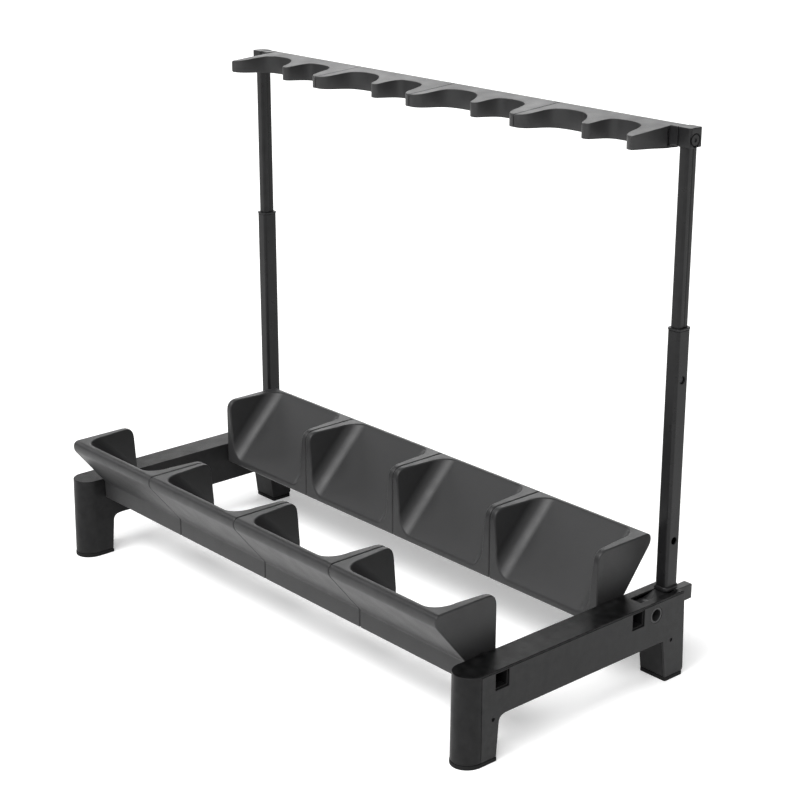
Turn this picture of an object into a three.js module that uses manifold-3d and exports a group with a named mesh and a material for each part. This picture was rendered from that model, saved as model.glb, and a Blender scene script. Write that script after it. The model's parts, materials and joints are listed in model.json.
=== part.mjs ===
// Floor rack for several guitars: two moulded side frames, two square cross tubes
// carrying soft cradle mouldings, and a folding, telescoping goal-post that holds
// a rail of notched neck rests. Millimetres, +Z up, X along the rack, +Y to the rear.
// The origin is on the floor, under the middle of the rack.
import * as THREE from 'three';
import { mergeVertices } from 'three/addons/utils/BufferGeometryUtils.js';
import Module from 'manifold-3d';

const wasm = await Module();
wasm.setup();

// ---- driving dimensions -------------------------------------------------
const GAP = 0.3; // clearance between pieces that touch

// stations along the rack
const FRAME_OUT_X = 400; // outer face of a side frame
const FRAME_IN_X = 360.6; // inner face of a side frame
const PITCH = 180.2; // one guitar place
const PLACES = 4;
const MODULE_LENGTH = PITCH - 0.4;

// stations across the rack
const FRONT_TUBE_Y = -130.1;
const REAR_TUBE_Y = 90.15;
const NOSE_Y = -160.8; // centre of the rounded front end of a side frame
const PIVOT_Y = 121.2;
const POST_Y = 157.9;
const RAIL_BACK_Y = 167.5;
const LATCH_BACK_Y = 193.6;

// heights
const PAD_TOP = 5;
const BEAM_BOTTOM = 55.1;
const BEAM_TOP = 110.8;
const PIVOT_Z = 93.7;
const TUBE_Z = 96.7; // middle of the square cross tubes
const BOOT_BOTTOM = BEAM_TOP + GAP;
const LOWER_TUBE_BOTTOM = 114.5;
const LOWER_TUBE_TOP = 430.9;
const COLLAR_TOP = 434.1;
const BUTTON_Z = 372.5;
const PARK_HOLE_Z = 174.5;
const UPPER_TUBE_BOTTOM = 352;
const HEAD_BOTTOM = 639.5;
const HEAD_TOP = 661.5;
const RAIL_TOP = 661.4; // back edge of the neck rests

// side frame
const WALL = 3;
const TOP_WALL = 2.4;
const NOSE_RADIUS = (FRAME_OUT_X - FRAME_IN_X) / 2;
const NOSE_DRAFT = 2.5; // extra reach of the nose at the floor
const COVER_THICKNESS = 3;
const SCREW_Y = [-143.2, 149.7];
const SCREW_Z = 52.7;
const SCREW_RADIUS = 2;
const SLOT_FRONT_Y = 105;
const SLOT_REAR_Y = 157;

// cross tubes and pivot pins
const TUBE_SIZE = 20;
const TUBE_WALL = 1.5;
const TUBE_HALF_LENGTH = 398;
const PIN_OUTER = 9.6;
const PIN_INNER = 7.3;
const PIN_BORE = 9.76;

// posts
const POST_X = 381.3;
const CARRIER_HALF = 7.7;
const LOWER_SECTION = [17.6, 21.6];
const LOWER_CORNER = 4;
const LOWER_INNER = [14.2, 18.2];
const UPPER_SECTION = [13.2, 17.2];
const UPPER_INNER = [10.8, 14.8];
const BUTTON_RADIUS = 4.2;
const BUTTON_HOLE = 4.6;

// neck-rest rail
const BAR_Y = 156.5; // middle of the rail bar
const BAR_Z = 647;
const BAR_SIZE = [18, 21];
const BAR_HALF_LENGTH = 360.4;
const BOLT_Z = 648;
const BOLT_HOLE = 3.3;
const HEAD_IN_X = 373.2;
const HEAD_OUT_X = 392.5;
const HEAD_DEPTH = 20.4;
const REST_DEPTH = 79.5;
const REST_DROP = 0.0675; // fall of the top face per millimetre to the front
const REST_RISE = 0.077; // rise of the underside per millimetre to the front

// ---- materials ----------------------------------------------------------
function material(color, roughness, metalness) {
  return new THREE.MeshStandardMaterial({ color, roughness, metalness });
}

const PAINT = {
  shell: [0x2b2b2d, 0.55, 0.0],
  cover: [0x303032, 0.5, 0.0],
  pad: [0x1d1d1e, 0.85, 0.0],
  soft: [0x444446, 0.8, 0.0],
  steel: [0x1c1c1e, 0.35, 0.6],
  nylon: [0x232325, 0.5, 0.0],
  bright: [0x5c5d60, 0.3, 0.9],
};

// ---- solids -------------------------------------------------------------
function toSolid(geometry) {
  const bare = geometry.index ? geometry.toNonIndexed() : geometry.clone();
  bare.deleteAttribute('normal');
  bare.deleteAttribute('uv');
  const merged = mergeVertices(bare, 1e-4);
  return new wasm.Manifold(new wasm.Mesh({
    numProp: 3,
    vertProperties: new Float32Array(merged.attributes.position.array),
    triVerts: new Uint32Array(merged.index.array),
  }));
}

function toGeometry(solid) {
  const { vertProperties, triVerts } = solid.getMesh();
  const geometry = new THREE.BufferGeometry();
  geometry.setAttribute('position', new THREE.BufferAttribute(vertProperties, 3));
  geometry.setIndex(new THREE.BufferAttribute(triVerts, 1));
  geometry.computeVertexNormals();
  return geometry;
}

function outline(points) {
  return new THREE.Shape(points.map(([a, b]) => new THREE.Vector2(a, b)));
}

function prism(shape, low, high, axis, curveSegments = 6) {
  const geometry = new THREE.ExtrudeGeometry(shape, {
    depth: high - low, bevelEnabled: false, curveSegments,
  });
  geometry.translate(0, 0, low);
  if (axis === 'x') {
    // a shape drawn in (y, z) and pushed along x
    geometry.applyMatrix4(new THREE.Matrix4().set(
      0, 0, 1, 0,
      1, 0, 0, 0,
      0, 1, 0, 0,
      0, 0, 0, 1,
    ));
  }
  return toSolid(geometry);
}

function alongX(shape, a, b, curveSegments) {
  return prism(shape, Math.min(a, b), Math.max(a, b), 'x', curveSegments);
}

function alongZ(shape, low, high, curveSegments) {
  return prism(shape, low, high, 'z', curveSegments);
}

function box(xs, ys, zs) {
  const x0 = Math.min(...xs);
  const x1 = Math.max(...xs);
  const geometry = new THREE.BoxGeometry(x1 - x0, ys[1] - ys[0], zs[1] - zs[0]);
  geometry.translate((x0 + x1) / 2, (ys[0] + ys[1]) / 2, (zs[0] + zs[1]) / 2);
  return toSolid(geometry);
}

function rodX(radius, y, z, a, b, segments = 24) {
  const geometry = new THREE.CylinderGeometry(radius, radius, Math.abs(b - a), segments);
  geometry.rotateZ(Math.PI / 2);
  geometry.translate((a + b) / 2, y, z);
  return toSolid(geometry);
}

function roundedRect(cx, cy, width, height, radius) {
  const x = width / 2;
  const y = height / 2;
  const shape = new THREE.Shape();
  shape.moveTo(cx - x + radius, cy - y);
  shape.lineTo(cx + x - radius, cy - y);
  shape.absarc(cx + x - radius, cy - y + radius, radius, -Math.PI / 2, 0);
  shape.lineTo(cx + x, cy + y - radius);
  shape.absarc(cx + x - radius, cy + y - radius, radius, 0, Math.PI / 2);
  shape.lineTo(cx - x + radius, cy + y);
  shape.absarc(cx - x + radius, cy + y - radius, radius, Math.PI / 2, Math.PI);
  shape.lineTo(cx - x, cy - y + radius);
  shape.absarc(cx - x + radius, cy - y + radius, radius, Math.PI, Math.PI * 1.5);
  return shape;
}

const rack = new THREE.Group();

function addPiece(name, solid, paint) {
  const mesh = new THREE.Mesh(toGeometry(solid), material(...PAINT[paint]));
  mesh.name = name;
  rack.add(mesh);
}

// ---- side frames --------------------------------------------------------
// Side view of a frame behind its rounded nose, drawn in (y, z) and shrunk by
// `inset` all round except at the nose, where it starts at `front`.
function frameProfile(front, inset, top) {
  const shape = new THREE.Shape();
  const low = PAD_TOP + GAP + inset;
  shape.moveTo(front, low);
  shape.lineTo(-137.9 - inset, low);
  shape.lineTo(-134.6 - inset, 47);
  shape.quadraticCurveTo(-133.5 - inset, BEAM_BOTTOM + inset, -122.7, BEAM_BOTTOM + inset);
  shape.lineTo(135.2 + inset, BEAM_BOTTOM + inset);
  shape.lineTo(142.1 + inset, low);
  shape.lineTo(170.2 - inset, low);
  shape.quadraticCurveTo(174.1 - inset, low, 174 - inset, low + 4.5);
  shape.lineTo(170.6 - inset, top);
  shape.lineTo(front, top);
  return shape;
}

// Upright cylinder whose front half leans out towards the floor.
function frameNose(side, radius, low, high) {
  const geometry = new THREE.CylinderGeometry(radius, radius, high - low, 36);
  geometry.rotateX(Math.PI / 2);
  geometry.translate(0, 0, (low + high) / 2);
  const position = geometry.attributes.position;
  for (let i = 0; i < position.count; i += 1) {
    const reach = 1 + (NOSE_DRAFT * (BEAM_TOP - position.getZ(i))) / (BEAM_TOP * NOSE_RADIUS);
    position.setY(i, position.getY(i) * reach);
  }
  geometry.translate((side * (FRAME_OUT_X + FRAME_IN_X)) / 2, NOSE_Y, 0);
  return toSolid(geometry);
}

function tubeHole(side, y, from, to) {
  const half = TUBE_SIZE / 2 + GAP;
  return box([side * from, side * to], [y - half, y + half], [TUBE_Z - half, TUBE_Z + half]);
}

function sideShell(side) {
  const x = (value) => side * value;
  const coverX = FRAME_OUT_X - COVER_THICKNESS - GAP;
  const coverTop = BEAM_TOP - TOP_WALL;
  let shell = alongX(frameProfile(NOSE_Y, 0, BEAM_TOP), x(FRAME_IN_X), x(FRAME_OUT_X))
    .add(frameNose(side, NOSE_RADIUS, PAD_TOP + GAP, BEAM_TOP));
  // hollow, open to the outer side where the cover closes it
  shell = shell
    .subtract(alongX(frameProfile(NOSE_Y - 0.01, WALL, coverTop), x(FRAME_IN_X + WALL), x(401)))
    .subtract(frameNose(side, NOSE_RADIUS - WALL, PAD_TOP + WALL, coverTop)
      .intersect(box([x(FRAME_IN_X), x(FRAME_OUT_X)], [-200, NOSE_Y + 0.01], [0, coverTop])))
    .subtract(box([x(coverX), x(401)], [NOSE_Y, 180], [0, coverTop]));
  // stiffening web across the hollow beam, and screw bosses
  shell = shell.add(box([x(362), x(coverX - GAP)], [-20, -17.5], [56, 110]));
  for (const y of SCREW_Y) {
    shell = shell
      .add(rodX(4.4, y, SCREW_Z, x(362), x(coverX - GAP), 16))
      .subtract(rodX(SCREW_RADIUS + GAP, y, SCREW_Z, x(372), x(401), 16));
  }
  // shelf under the latch slider
  shell = shell.add(box([x(362), x(coverX - GAP)], [157, 172], [87.6, 90.6]));
  // slot for the folding post, and the notch that the latch slides in
  shell = shell
    .subtract(alongZ(roundedRect(x(POST_X), (SLOT_FRONT_Y + SLOT_REAR_Y) / 2,
      2 * CARRIER_HALF + 1, SLOT_REAR_Y - SLOT_FRONT_Y, 1.2), 100, 112, 2))
    .subtract(box([x(377.4), x(392.6)], [150, 180], [90.6, 112]));
  // openings in the inner wall
  shell = shell
    .subtract(tubeHole(side, FRONT_TUBE_Y, 355, 366))
    .subtract(tubeHole(side, REAR_TUBE_Y, 355, 366))
    .subtract(rodX(PIN_OUTER + GAP, PIVOT_Y, PIVOT_Z, x(362), x(366), 32));
  return shell;
}

function sideCover(side) {
  const x = (value) => side * value;
  const top = BEAM_TOP - TOP_WALL - GAP;
  let cover = alongX(frameProfile(NOSE_Y + GAP, 0, top),
    x(FRAME_OUT_X - COVER_THICKNESS), x(FRAME_OUT_X));
  for (const y of [FRONT_TUBE_Y, REAR_TUBE_Y]) {
    cover = cover.subtract(tubeHole(side, y, 395, 402));
  }
  for (const y of SCREW_Y) {
    cover = cover.subtract(rodX(SCREW_RADIUS + GAP, y, SCREW_Z, x(395), x(402), 16));
  }
  return cover.subtract(rodX(PIN_OUTER + GAP, PIVOT_Y, PIVOT_Z, x(395), x(402), 32));
}

function coverScrew(side, y) {
  const x = (value) => side * value;
  return rodX(SCREW_RADIUS, y, SCREW_Z, x(376), x(398.6), 16)
    .subtract(rodX(1.1, y, SCREW_Z, x(396.8), x(399), 6));
}

function frontPad(side) {
  const inner = side * (FRAME_IN_X - 0.4);
  const outer = side * (FRAME_OUT_X + 0.4);
  const nose = frameNose(side, NOSE_RADIUS + 0.4, 0, PAD_TOP)
    .intersect(box([inner, outer], [-200, NOSE_Y + 0.01], [0, PAD_TOP]));
  return nose.add(box([inner, outer], [NOSE_Y, -137.4], [0, PAD_TOP]));
}

function rearPad(side) {
  const shape = roundedRect(side * 380.3, 157.4, 40.2, 31.4, 2.5);
  return alongZ(shape, 0, PAD_TOP, 3);
}

function pivotPin(side) {
  return rodX(PIN_OUTER, PIVOT_Y, PIVOT_Z, side * 362.4, side * 399.8, 32)
    .subtract(rodX(PIN_INNER, PIVOT_Y, PIVOT_Z, side * 365, side * 402, 32));
}

// ---- cross tubes and cradles --------------------------------------------
function crossTube(y) {
  const section = roundedRect(y, TUBE_Z, TUBE_SIZE, TUBE_SIZE, 1.5);
  const bore = roundedRect(y, TUBE_Z, TUBE_SIZE - 2 * TUBE_WALL, TUBE_SIZE - 2 * TUBE_WALL, 0.6);
  return alongX(section, -TUBE_HALF_LENGTH, TUBE_HALF_LENGTH, 2)
    .subtract(alongX(bore, -TUBE_HALF_LENGTH - 1, TUBE_HALF_LENGTH + 1, 1));
}

// Cradle section in (u, z), with u the distance out from its tube's axis.
const CRADLE = {
  inner: -29, outer: 17, bottom: 84, heel: 107.5, noseOut: 63.5, noseLow: 165, top: 177,
  seatInner: [-29, 92], seatOuter: [52.8, 177],
};

function cradleWingShape() {
  const c = CRADLE;
  const shape = new THREE.Shape();
  shape.moveTo(c.inner, c.bottom + 3);
  shape.quadraticCurveTo(c.inner, c.bottom, c.inner + 3, c.bottom);
  shape.lineTo(c.outer - 2, c.bottom);
  shape.quadraticCurveTo(c.outer, c.bottom, c.outer, c.bottom + 2);
  shape.lineTo(c.outer, c.heel);
  shape.lineTo(c.noseOut - 3.4, c.noseLow - 4);
  shape.bezierCurveTo(c.noseOut + 1, c.noseLow + 1.5, c.noseOut + 0.4, c.top, 56, c.top);
  shape.lineTo(c.inner + 15, c.top);
  shape.quadraticCurveTo(c.inner, c.top, c.inner, c.top - 15);
  return shape;
}

// Scoop between two wings: a trough along the sloping seat, whose walls lean
// out and meet the seat in wide fillets.
function seatScoop() {
  const [u0, z0] = CRADLE.seatInner;
  const [u1, z1] = CRADLE.seatOuter;
  const slope = Math.atan2(z1 - z0, u1 - u0);
  const fillet = 20;
  const half = MODULE_LENGTH / 2;
  const foot = half - 12.6;
  const shape = new THREE.Shape();
  shape.moveTo(-(foot - fillet), 0);
  shape.lineTo(foot - fillet, 0);
  shape.absarc(foot - fillet, fillet, fillet, -Math.PI / 2, 0.12);
  shape.lineTo(half - 5.2, 75);
  shape.lineTo(-(half - 5.2), 75);
  shape.absarc(-(foot - fillet), fillet, fillet, Math.PI - 0.12, Math.PI * 1.5);
  const geometry = new THREE.ExtrudeGeometry(shape, {
    depth: 240, bevelEnabled: false, curveSegments: 5,
  });
  geometry.translate(0, 0, -60);
  geometry.applyMatrix4(new THREE.Matrix4().set(
    -1, 0, 0, 0,
    0, -Math.sin(slope), Math.cos(slope), u0,
    0, Math.cos(slope), Math.sin(slope), z0,
    0, 0, 0, 1,
  ));
  return toSolid(geometry);
}

function cradleModule() {
  const half = MODULE_LENGTH / 2;
  const bore = TUBE_SIZE / 2 + GAP;
  return alongX(cradleWingShape(), -half, half, 5)
    .subtract(seatScoop())
    .subtract(box([-half - 1, half + 1], [-bore, bore], [TUBE_Z - bore, TUBE_Z + bore]));
}

function placeX(place) {
  return (place - (PLACES + 1) / 2) * PITCH;
}

// ---- folding posts ------------------------------------------------------
// Hinge carrier: a hub on the pivot pin, an arm that fills the slot, and a
// spigot that plugs into the lower tube.
function hingeCarrier(side) {
  const x = (value) => side * value;
  const ends = [x(POST_X - CARRIER_HALF), x(POST_X + CARRIER_HALF)];
  const arm = outline([
    [PIVOT_Y - 1, PIVOT_Z - 11], [PIVOT_Y + 16, PIVOT_Z - 9], [155.8, 90.6],
    [155.8, 110.4], [146.2, 110.4], [PIVOT_Y + 3, PIVOT_Z + 12.2],
  ]);
  const plateY = [POST_Y - 8.8, POST_Y + 8.8];
  const spigotX = [x(POST_X - 5.4), x(POST_X + 5.4)];
  return alongX(arm, ...ends)
    .add(rodX(13, PIVOT_Y, PIVOT_Z, ...ends, 32))
    .add(box([x(POST_X - 6.7), x(POST_X + 6.7)], [plateY[0], 155.8], [109, 114.2]))
    .add(box([x(POST_X - 6.7), x(POST_X + 6.7)], plateY, [BOOT_BOTTOM + GAP, 114.2]))
    .add(box(spigotX, [POST_Y - 7.4, POST_Y + 7.4], [113, 149]))
    .subtract(rodX(PIN_BORE, PIVOT_Y, PIVOT_Z, x(370), x(395), 32));
}

// Flared collar that covers the slot end and hides the foot of the tube.
function postBoot(side) {
  const cx = side * POST_X;
  const [width, depth] = LOWER_SECTION;
  const foot = roundedRect(cx, POST_Y, width + 0.8, depth + 0.8, LOWER_CORNER + 0.4);
  const geometry = new THREE.ExtrudeGeometry(foot, {
    depth: 2.6, bevelEnabled: true, bevelSize: 1.5, bevelThickness: 1.6,
    bevelSegments: 2, curveSegments: 2,
  });
  geometry.translate(0, 0, BOOT_BOTTOM + 1.6);
  const opening = roundedRect(cx, POST_Y, width + 0.6, depth + 0.6, LOWER_CORNER + 0.3);
  return toSolid(geometry).subtract(alongZ(opening, 100, 125, 3));
}

function lowerTube(side) {
  const cx = side * POST_X;
  let tube = alongZ(roundedRect(cx, POST_Y, ...LOWER_SECTION, LOWER_CORNER), LOWER_TUBE_BOTTOM,
    LOWER_TUBE_TOP, 3)
    .subtract(alongZ(roundedRect(cx, POST_Y, ...LOWER_INNER, 3.7), 100, 450, 2));
  for (const z of [BUTTON_Z, PARK_HOLE_Z]) {
    tube = tube.subtract(rodX(BUTTON_HOLE, POST_Y, z, cx, cx + side * 12, 20));
  }
  return tube;
}

function tubeCollar(side) {
  const cx = side * POST_X;
  const low = LOWER_TUBE_TOP + GAP;
  const geometry = new THREE.ExtrudeGeometry(roundedRect(cx, POST_Y, ...LOWER_SECTION, LOWER_CORNER), {
    depth: COLLAR_TOP - low - 1.6, bevelEnabled: true, bevelSize: 0.5,
    bevelThickness: 0.8, bevelSegments: 2, curveSegments: 2,
  });
  geometry.translate(0, 0, low + 0.8);
  return toSolid(geometry)
    .subtract(alongZ(roundedRect(cx, POST_Y, 13.8, 17.8, 3.7), 420, 440, 2));
}

function upperTube(side) {
  const cx = side * POST_X;
  let tube = alongZ(roundedRect(cx, POST_Y, ...UPPER_SECTION, 3.4), UPPER_TUBE_BOTTOM, 655, 2)
    .subtract(alongZ(roundedRect(cx, POST_Y, ...UPPER_INNER, 2.4), 340, 660, 1));
  // shallow guide groove down the middle of both broad faces
  for (const hand of [-1, 1]) {
    const face = cx + (hand * UPPER_SECTION[0]) / 2;
    tube = tube.subtract(box([face - hand * 0.5, face + hand], [POST_Y - 1.3, POST_Y + 1.3],
      [340, 660]));
  }
  return tube
    .subtract(rodX(BUTTON_HOLE, POST_Y, BUTTON_Z, cx, cx + side * 12, 24))
    .subtract(rodX(BOLT_HOLE, BAR_Y, BOLT_Z, cx - side * 12, cx + side * 12, 20));
}

// Push button behind the hole in the lower tube; its flange stays inside.
function snapButton(side) {
  const cx = side * POST_X;
  return rodX(BUTTON_RADIUS, POST_Y, BUTTON_Z, cx + side * 2.5, cx + side * 6.8, 24)
    .add(rodX(5.6, POST_Y, BUTTON_Z, cx + side * 1.2, cx + side * 3.2, 24));
}

// Spring latch that juts out behind the frame, with a shoulder kept inside it.
function latchSlider(side) {
  const x = (value) => side * value;
  const shoulder = box([x(377.8), x(392.2)], [158.4, 161.4], [91, 108]);
  const bar = alongX(outline([
    [158.4, 91], [LATCH_BACK_Y - 1, 91], [LATCH_BACK_Y, 92], [LATCH_BACK_Y, 109],
    [LATCH_BACK_Y - 1, 110], [158.4, 110],
  ]), x(380.4), x(392));
  return shoulder.add(bar);
}

// ---- rail ---------------------------------------------------------------
function headBlock(side) {
  const cx = (side * (HEAD_IN_X + HEAD_OUT_X)) / 2;
  const section = roundedRect(cx, POST_Y, HEAD_OUT_X - HEAD_IN_X, HEAD_DEPTH, 3.4);
  const pocket = roundedRect(side * POST_X, POST_Y, UPPER_SECTION[0] + 0.6,
    UPPER_SECTION[1] + 0.6, 3.7);
  return alongZ(section, HEAD_BOTTOM, HEAD_TOP, 3)
    .subtract(alongZ(pocket, HEAD_BOTTOM - 1, 655.3, 2))
    .subtract(rodX(BOLT_HOLE, BAR_Y, BOLT_Z, side * 370, side * 401, 20))
    .subtract(rodX(7.6, BAR_Y, BOLT_Z, side * (HEAD_OUT_X - 2.3), side * 401, 28));
}

// Bolt through the block and the tube into the plug of the rail bar.
function headBolt(side) {
  const seat = HEAD_OUT_X - 2;
  return rodX(6.5, BAR_Y, BOLT_Z, side * seat, side * (HEAD_OUT_X - 0.3), 28)
    .add(rodX(3, BAR_Y, BOLT_Z, side * 350, side * (seat + 0.5), 16))
    .subtract(rodX(2.3, BAR_Y, BOLT_Z, side * (HEAD_OUT_X - 1.6), side * 402, 6));
}

function railBar() {
  const section = roundedRect(BAR_Y, BAR_Z, ...BAR_SIZE, 1.5);
  const bore = roundedRect(BAR_Y, BAR_Z, BAR_SIZE[0] - 3, BAR_SIZE[1] - 3, 0.6);
  return alongX(section, -BAR_HALF_LENGTH, BAR_HALF_LENGTH, 2)
    .subtract(alongX(bore, -BAR_HALF_LENGTH - 1, BAR_HALF_LENGTH + 1, 1));
}

// Plug in the end of the rail bar, with a flange as tall as the head block.
function railPlug(side) {
  const flange = roundedRect(POST_Y, (HEAD_BOTTOM + HEAD_TOP) / 2, 18.2,
    HEAD_TOP - HEAD_BOTTOM - 0.6, 1.5);
  const spigot = roundedRect(BAR_Y, BAR_Z, BAR_SIZE[0] - 3.6, BAR_SIZE[1] - 3.6, 0.5);
  return alongX(flange, side * (BAR_HALF_LENGTH + GAP), side * (HEAD_IN_X - GAP), 2)
    .add(alongX(spigot, side * 338, side * 362, 1))
    .subtract(rodX(BOLT_HOLE, BAR_Y, BOLT_Z, side * 344, side * 375, 20));
}

// Front edge of a neck rest, from its left half prong through the wide notch, the
// middle prong and the narrow notch to its right one, as (x, distance in front of
// the back edge).
const REST_EDGE = [
  [-90.6, 79.5], [-86, 78.4], [-81, 75], [-77.4, 69], [-76, 58], [-75.6, 45], [-73, 34.5],
  [-67, 28.6], [-57, 25], [-46, 24.2], [-34, 25], [-23.5, 29.5], [-13.5, 38.5], [-5.5, 50],
  [-1, 60], [2.4, 64.1], [6.3, 65.2], [10, 64.2], [12.2, 60.5], [12.5, 50], [12.9, 40],
  [15, 32], [20, 27.6], [30, 26], [43, 25.6], [55.5, 28.6], [64.5, 36], [69, 47], [72, 58],
  [75, 68.5], [79.5, 75.4], [85, 78.8], [90.6, 79.5],
];

function notchCutter() {
  const curve = new THREE.SplineCurve(REST_EDGE.map(([x, depth]) => (
    new THREE.Vector2(x, RAIL_BACK_Y - depth))));
  const points = curve.getPoints(96).map((point) => [point.x, point.y]);
  points.push([90.6, RAIL_BACK_Y - 95], [-90.6, RAIL_BACK_Y - 95]);
  return alongZ(outline(points), 620, 680);
}

function neckRest() {
  const half = MODULE_LENGTH / 2;
  const tip = RAIL_BACK_Y - REST_DEPTH;
  const topTip = RAIL_TOP - REST_DROP * REST_DEPTH;
  const low = RAIL_TOP - 27;
  const lowTip = low + REST_RISE * REST_DEPTH;
  const shape = new THREE.Shape();
  shape.moveTo(tip + 3, lowTip);
  shape.lineTo(RAIL_BACK_Y - 3, low);
  shape.quadraticCurveTo(RAIL_BACK_Y, low, RAIL_BACK_Y, low + 3);
  shape.lineTo(RAIL_BACK_Y, RAIL_TOP - 3);
  shape.quadraticCurveTo(RAIL_BACK_Y, RAIL_TOP, RAIL_BACK_Y - 3, RAIL_TOP - 0.2);
  shape.lineTo(tip + 3, topTip + 0.2);
  shape.quadraticCurveTo(tip, topTip, tip, topTip - 3);
  shape.lineTo(tip, lowTip + 3);
  shape.quadraticCurveTo(tip, lowTip, tip + 3, lowTip);
  const channel = roundedRect(BAR_Y, BAR_Z, BAR_SIZE[0] + 0.6, BAR_SIZE[1] + 0.6, 1.5);
  return alongX(shape, -half, half, 3)
    .subtract(notchCutter())
    .subtract(alongX(channel, -half - 1, half + 1, 2));
}

// ---- assembly -----------------------------------------------------------
const HANDS = [['left', -1], ['right', 1]];

for (const [hand, side] of HANDS) {
  addPiece(`side_shell_${hand}`, sideShell(side), 'shell');
  addPiece(`side_cover_${hand}`, sideCover(side), 'cover');
  addPiece(`cover_screw_front_${hand}`, coverScrew(side, SCREW_Y[0]), 'bright');
  addPiece(`cover_screw_rear_${hand}`, coverScrew(side, SCREW_Y[1]), 'bright');
  addPiece(`foot_pad_front_${hand}`, frontPad(side), 'pad');
  addPiece(`foot_pad_rear_${hand}`, rearPad(side), 'pad');
  addPiece(`pivot_pin_${hand}`, pivotPin(side), 'steel');
  addPiece(`hinge_carrier_${hand}`, hingeCarrier(side), 'nylon');
  addPiece(`post_boot_${hand}`, postBoot(side), 'nylon');
  addPiece(`lower_tube_${hand}`, lowerTube(side), 'steel');
  addPiece(`tube_collar_${hand}`, tubeCollar(side), 'nylon');
  addPiece(`upper_tube_${hand}`, upperTube(side), 'steel');
  addPiece(`snap_button_${hand}`, snapButton(side), 'bright');
  addPiece(`latch_slider_${hand}`, latchSlider(side), 'nylon');
  addPiece(`head_block_${hand}`, headBlock(side), 'nylon');
  addPiece(`head_bolt_${hand}`, headBolt(side), 'steel');
  addPiece(`rail_plug_${hand}`, railPlug(side), 'nylon');
}

addPiece('cross_tube_front', crossTube(FRONT_TUBE_Y), 'steel');
addPiece('cross_tube_rear', crossTube(REAR_TUBE_Y), 'steel');
addPiece('rail_bar', railBar(), 'steel');

const cradle = cradleModule();
const rest = neckRest();
for (let place = 1; place <= PLACES; place += 1) {
  const x = placeX(place);
  addPiece(`cradle_front_${place}`, cradle.rotate([0, 0, 180])
    .translate([x, FRONT_TUBE_Y, 0]), 'soft');
  addPiece(`cradle_rear_${place}`, cradle.translate([x, REAR_TUBE_Y, 0]), 'soft');
  addPiece(`neck_rest_${place}`, rest.translate([x, 0, 0]), 'soft');
}

export default rack;
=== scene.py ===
"""Looks of a folding guitar rack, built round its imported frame. Metres, +Z up."""
import json
import math

import bpy
from mathutils import Matrix, Vector


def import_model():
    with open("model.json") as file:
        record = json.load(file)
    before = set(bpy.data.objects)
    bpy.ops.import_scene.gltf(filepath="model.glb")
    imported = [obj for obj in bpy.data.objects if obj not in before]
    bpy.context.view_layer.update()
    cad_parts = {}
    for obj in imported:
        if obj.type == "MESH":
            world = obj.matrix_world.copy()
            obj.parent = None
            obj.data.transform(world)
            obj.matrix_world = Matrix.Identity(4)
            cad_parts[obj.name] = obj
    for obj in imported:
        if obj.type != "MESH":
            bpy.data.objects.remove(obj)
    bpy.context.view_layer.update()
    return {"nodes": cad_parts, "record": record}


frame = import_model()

MM = 0.001
NODES = frame["nodes"]

# Joints between facets flatter than this many degrees are merged away.
FACET_ANGLE = 0.6

# The camera stands in front of the rack and to its right; angles in degrees.
CAMERA_AT = (1.66704, -1.39435, 1.03079)
CAMERA_YAW = 48.623
CAMERA_PITCH = 18.966
LENS_MM = 82.84
SENSOR_MM = 36

FLOOR_HALF = 30
FLOOR_GLOW = 0.3
WORLD_STRENGTH = 0.06

# Name, azimuth and height in degrees, and strength of each light. Azimuth 0 is
# in front of the rack and 90 at its right end.
LIGHTS = [
    ("front", 0, 50, 2.6),
    ("front_right", 45, 50, 1.6),
    ("front_left", 315, 50, 0.5),
    ("right", 90, 20, 0.3),
    ("left", 270, 20, 0.6),
    ("behind", 228, 20, 0.62),
]
LIGHT_SPREAD = 30


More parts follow.
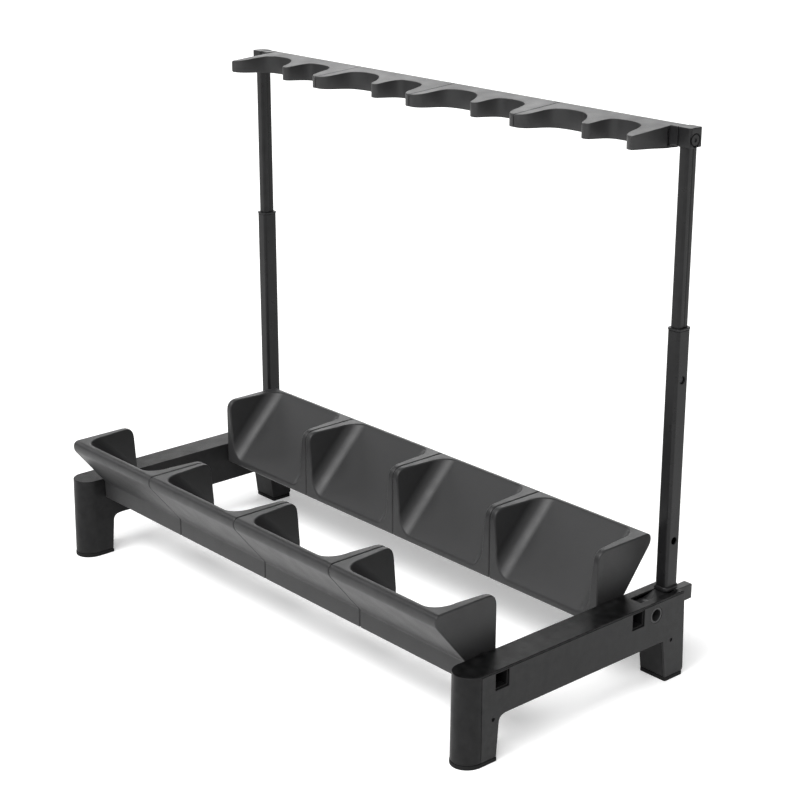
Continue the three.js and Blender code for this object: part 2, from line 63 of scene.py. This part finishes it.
# ---- node helpers --------------------------------------------------------
class Tree:
    """A material's node tree, with short calls for the nodes used here."""

    def __init__(self, name):
        self.material = bpy.data.materials.new(name)
        self.material.use_nodes = True
        self.tree = self.material.node_tree
        self.shader = self.tree.nodes["Principled BSDF"]
        self.coords = self.tree.nodes.new("ShaderNodeTexCoord").outputs["Object"]

    def link(self, out, target):
        self.tree.links.new(out, target)

    def noise(self, scale, detail=3.0, rough=0.5, stretch=None):
        node = self.tree.nodes.new("ShaderNodeTexNoise")
        node.inputs["Scale"].default_value = scale
        node.inputs["Detail"].default_value = detail
        node.inputs["Roughness"].default_value = rough
        source = self.coords
        if stretch:
            mapping = self.tree.nodes.new("ShaderNodeMapping")
            mapping.inputs["Scale"].default_value = stretch
            self.link(source, mapping.inputs["Vector"])
            source = mapping.outputs["Vector"]
        self.link(source, node.inputs["Vector"])
        return node.outputs["Fac"]

    def cells(self, scale):
        node = self.tree.nodes.new("ShaderNodeTexVoronoi")
        node.inputs["Scale"].default_value = scale
        self.link(self.coords, node.inputs["Vector"])
        return node.outputs["Distance"]

    def ramp(self, value, low, high, dark=(0, 0, 0), light=(1, 1, 1)):
        node = self.tree.nodes.new("ShaderNodeValToRGB")
        first, last = node.color_ramp.elements
        first.position, last.position = low, high
        first.color, last.color = (*dark, 1), (*light, 1)
        self.link(value, node.inputs["Fac"])
        return node.outputs["Color"]

    def span(self, value, low, high):
        node = self.tree.nodes.new("ShaderNodeMapRange")
        node.inputs["From Min"].default_value = 0.25
        node.inputs["From Max"].default_value = 0.75
        node.inputs["To Min"].default_value = low
        node.inputs["To Max"].default_value = high
        self.link(value, node.inputs["Value"])
        return node.outputs["Result"]

    def mix(self, amount, a, b, mode="MIX"):
        node = self.tree.nodes.new("ShaderNodeMix")
        node.data_type = "RGBA"
        node.blend_type = mode
        for socket, value in ((node.inputs[0], amount), (node.inputs[6], a), (node.inputs[7], b)):
            if isinstance(value, bpy.types.NodeSocket):
                self.link(value, socket)
            else:
                socket.default_value = value
        return node.outputs[2]

    def bumps(self, layers):
        """Stacks (height, strength, distance) layers into the shader's normal."""
        last = None
        for height, strength, distance in layers:
            node = self.tree.nodes.new("ShaderNodeBump")
            node.inputs["Strength"].default_value = strength
            node.inputs["Distance"].default_value = distance
            self.link(height, node.inputs["Height"])
            if last:
                self.link(last, node.inputs["Normal"])
            last = node.outputs["Normal"]
        self.link(last, self.shader.inputs["Normal"])

    def painted_top_shade(self, colour, share):
        """Painted shade: darkens the colour of the faces that look up, standing in for dimmer light
        on them.
        """
        geometry = self.tree.nodes.new("ShaderNodeNewGeometry")
        parts = self.tree.nodes.new("ShaderNodeSeparateXYZ")
        self.link(geometry.outputs["Normal"], parts.inputs["Vector"])
        amount = self.ramp(parts.outputs["Z"], 0.5, 0.9)
        return self.mix(amount, colour, self.mix(1.0, colour, (share, share, share, 1), "MULTIPLY"))

    def worn_edges(self, colour, light, low=0.515, high=0.56):
        """Rubs the colour lighter along convex edges, broken up by fine noise."""
        geometry = self.tree.nodes.new("ShaderNodeNewGeometry")
        edge = self.ramp(geometry.outputs["Pointiness"], low, high)
        patchy = self.ramp(self.noise(90, 4), 0.35, 0.75)
        return self.mix(self.mix(1.0, edge, patchy, "MULTIPLY"), colour, (*light, 1))


def scaled(colour, factor):
    return tuple(c * factor for c in colour)


def moulded(name, colour, roughness, grain, depth, wear=1.5, specular=0.5, top_shade=None):
    """Moulded plastic or rubber: sparked grain, faint flow clouds, rubbed edges."""
    t = Tree(name)
    cloud = t.noise(7, 3)
    base = t.ramp(cloud, 0.3, 0.7, scaled(colour, 0.9), scaled(colour, 1.1))
    speck = t.ramp(t.noise(grain * 0.6, 2), 0.35, 0.7, scaled(colour, 0.88), scaled(colour, 1.12))
    base = t.mix(0.5, base, speck)
    # Painted shade: the faces that look up are darkened to the given share of their colour.
    if top_shade:
        base = t.painted_top_shade(base, top_shade)
    t.link(t.worn_edges(base, scaled(colour, wear)), t.shader.inputs["Base Color"])
    t.link(t.span(t.noise(40, 4), roughness - 0.05, roughness + 0.05),
           t.shader.inputs["Roughness"])
    t.shader.inputs["Specular IOR Level"].default_value = specular
    t.bumps([
        (t.noise(grain, 3, 0.6), depth, 0.0002),
        (t.cells(grain * 0.45), depth * 0.5, 0.0001),
        (t.noise(14, 2), 0.05, 0.001),
    ])
    return t.material


def powder_coat(name, colour, roughness, specular):
    """Baked powder paint: a slight orange peel and a scatter of fine dust."""
    t = Tree(name)
    base = t.ramp(t.noise(22, 4), 0.3, 0.75, scaled(colour, 0.85), scaled(colour, 1.2))
    t.link(t.worn_edges(base, scaled(colour, 2.2), 0.53, 0.6), t.shader.inputs["Base Color"])
    t.link(t.span(t.noise(60, 5), roughness - 0.06, roughness + 0.08),
           t.shader.inputs["Roughness"])
    t.shader.inputs["Specular IOR Level"].default_value = specular
    t.bumps([(t.noise(900, 2), 0.16, 0.0002), (t.noise(2600, 2), 0.1, 0.0001)])
    return t.material


def turned_steel(name, colour, roughness):
    """Blackened steel with fine turning marks."""
    t = Tree(name)
    lines = t.noise(60, 3, 0.6, (40, 1, 1))
    base = t.ramp(lines, 0.3, 0.7, scaled(colour, 0.75), scaled(colour, 1.25))
    t.link(base, t.shader.inputs["Base Color"])
    t.link(t.span(lines, roughness - 0.08, roughness + 0.1), t.shader.inputs["Roughness"])
    t.shader.inputs["Metallic"].default_value = 0.9
    t.bumps([(lines, 0.15, 0.0001)])
    return t.material


SKINS = {
    "soft": moulded("soft_moulding", (0.0225, 0.0225, 0.023), 0.45,
                    grain=1500, depth=0.3, wear=1.5, specular=0.31),
    # The frame plastic gets painted shade on its upward faces.
    "shell": moulded("frame_plastic", (0.0108, 0.0108, 0.0111), 0.42,
                     grain=1400, depth=0.4, wear=2.2, specular=0.1, top_shade=0.25),
    "cover": moulded("cover_plastic", (0.0088, 0.0088, 0.0091), 0.4,
                     grain=1400, depth=0.4, wear=2.2, specular=0.19),
    "pad": moulded("pad_rubber", (0.0078, 0.0078, 0.008), 0.75,
                   grain=1300, depth=0.4, wear=1.3, specular=0.15),
    "nylon": moulded("nylon_fitting", (0.009, 0.009, 0.0094), 0.42,
                     grain=2000, depth=0.25, wear=2.2, specular=0.25),
    "steel": powder_coat("black_powder_coat", (0.008, 0.008, 0.0083), 0.3, specular=0.2),
    "ring": moulded("pivot_ring", (0.017, 0.017, 0.0175), 0.4,
                    grain=2000, depth=0.2, wear=2.0, specular=0.4),
    "bright": turned_steel("blackened_steel", (0.035, 0.035, 0.037), 0.35),
}

# By the start of a node's name: bevel width in millimetres, its steps, the least
# angle that is rounded, and how close points are merged first.
EDGES = [
    ("cradle_", 1.9, 4, 28, 0.3),
    ("neck_rest_", 0.8, 3, 50, 0.3),
    ("side_shell_", 0.9, 3),
    ("side_cover_", 0.35, 2),
    ("foot_pad_", 0.8, 3),
    ("head_block_", 0.8, 3),
    ("latch_slider_", 0.7, 3),
    ("hinge_carrier_", 0.6, 2),
    ("rail_plug_", 0.5, 2),
    ("lower_tube_", 0.4, 2),
    ("upper_tube_", 0.3, 2),
    ("pivot_pin_", 0.4, 2),
    ("head_bolt_", 0.5, 2),
    ("snap_button_", 0.7, 3),
    ("cover_screw_", 0.3, 2),
    ("rail_bar", 0.3, 2),
    ("cross_tube_", 0.3, 2),
    ("post_boot_", 0.4, 2),
    ("tube_collar_", 0.3, 2),
]


def soften(node, width, steps, limit=28, merge=0.01):
    """Merges the facets back into flat faces and rounds the edges between them."""
    for polygon in node.data.polygons:
        polygon.use_smooth = True
    weld = node.modifiers.new("weld", "WELD")
    weld.merge_threshold = merge * MM
    flat = node.modifiers.new("flatten", "DECIMATE")
    flat.decimate_type = "DISSOLVE"
    flat.angle_limit = math.radians(FACET_ANGLE)
    bevel = node.modifiers.new("round", "BEVEL")
    bevel.width = width * MM
    bevel.segments = steps
    bevel.limit_method = "ANGLE"
    bevel.angle_limit = math.radians(limit)
    bevel.use_clamp_overlap = False
    bevel.harden_normals = True
    bevel.miter_outer = "MITER_ARC"
    normals = node.modifiers.new("normals", "WEIGHTED_NORMAL")
    normals.keep_sharp = False
    normals.weight = 60


slots = {s["node"]: s["material_slot"] for s in frame["record"]["subparts"]}
for name, node in NODES.items():
    node.data.materials.clear()
    skin = "ring" if name.startswith("pivot_pin_") else slots[name]
    node.data.materials.append(SKINS[skin])
    for start, *edge in EDGES:
        if name.startswith(start):
            soften(node, *edge)


# ---- studio --------------------------------------------------------------
def floor():
    mesh = bpy.data.meshes.new("studio_floor")
    corners = [(x * FLOOR_HALF, y * FLOOR_HALF, 0) for x, y in ((-1, -1), (1, -1), (1, 1), (-1, 1))]
    mesh.from_pydata(corners, [], [(0, 1, 2, 3)])
    obj = bpy.data.objects.new("studio_floor", mesh)
    bpy.context.scene.collection.objects.link(obj)
    t = Tree("studio_paper")
    t.link(t.ramp(t.noise(3, 2), 0.3, 0.7, (0.86, 0.86, 0.86), (0.88, 0.88, 0.88)),
           t.shader.inputs["Base Color"])
    t.shader.inputs["Roughness"].default_value = 0.9
    t.shader.inputs["Emission Color"].default_value = (1, 1, 1, 1)
    t.shader.inputs["Emission Strength"].default_value = FLOOR_GLOW
    mesh.materials.append(t.material)


def aim(ahead):
    """The turn that points a light or camera along a direction."""
    return ahead.to_track_quat("-Z", "Y")


def softbox(name, azimuth, height, energy):
    """A wide far light."""
    light = bpy.data.lights.new(name, "SUN")
    light.energy = energy
    light.angle = math.radians(LIGHT_SPREAD)
    turn, rise = math.radians(azimuth), math.radians(height)
    ahead = Vector((-math.cos(rise) * math.sin(turn), math.cos(rise) * math.cos(turn),
                    -math.sin(rise)))
    obj = bpy.data.objects.new(name, light)
    obj.rotation_euler = aim(ahead).to_euler()
    bpy.context.scene.collection.objects.link(obj)


def world():
    w = bpy.data.worlds.new("studio")
    w.use_nodes = True
    w.node_tree.nodes["Background"].inputs["Color"].default_value = (1, 1, 1, 1)
    w.node_tree.nodes["Background"].inputs["Strength"].default_value = WORLD_STRENGTH
    bpy.context.scene.world = w


def camera():
    data = bpy.data.cameras.new("view")
    data.lens = LENS_MM
    data.sensor_width = SENSOR_MM
    data.clip_end = 100
    obj = bpy.data.objects.new("view", data)
    yaw, pitch = math.radians(CAMERA_YAW), math.radians(CAMERA_PITCH)
    ahead = Vector((-math.sin(yaw) * math.cos(pitch), math.cos(yaw) * math.cos(pitch),
                    -math.sin(pitch)))
    obj.matrix_world = Matrix.Translation(CAMERA_AT) @ aim(ahead).to_matrix().to_4x4()
    bpy.context.scene.collection.objects.link(obj)
    bpy.context.scene.camera = obj


floor()
world()
camera()
for light in LIGHTS:
    softbox(*light)
bpy.context.scene.view_settings.view_transform = "Standard"
